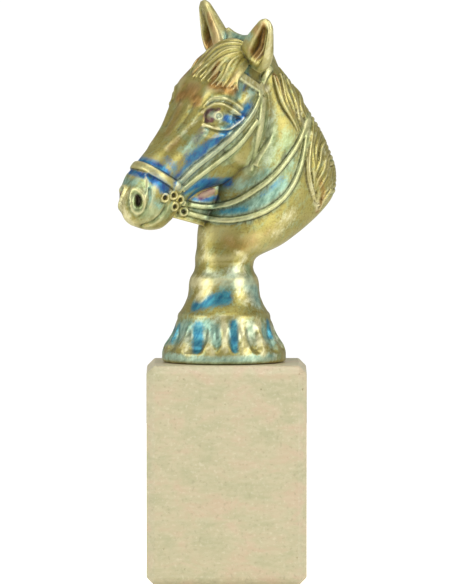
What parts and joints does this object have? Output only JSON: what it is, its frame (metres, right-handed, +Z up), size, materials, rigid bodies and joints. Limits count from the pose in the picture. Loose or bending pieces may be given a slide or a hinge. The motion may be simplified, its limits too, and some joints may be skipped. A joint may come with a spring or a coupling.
{
  "type": "horse head trophy",
  "caption": "Cast metal bust of a bridled horse's head on a round fluted foot, standing on a square marble block; a trophy, award or mantel ornament.",
  "frame": {"origin": "middle of the marble block's underside", "axes": "+Z up; -Y is the front face of the block, from which it was pictured; the horse looks towards -X, turned a little to -Y; the head's own left side faces -Y"},
  "size_m": [0.0993, 0.075, 0.2651],
  "materials": {
    "gilt_patinated_metal": "gilt cast metal, satin, with a blue and teal iridescent patina and brown recesses",
    "beige_marble": "honed beige marble, softly clouded, with fine grain and small pits"
  },
  "bodies": {
    "root": {"horse_head_casting": "gilt_patinated_metal", "marble_block": "beige_marble"}
  },
  "joints": []
}
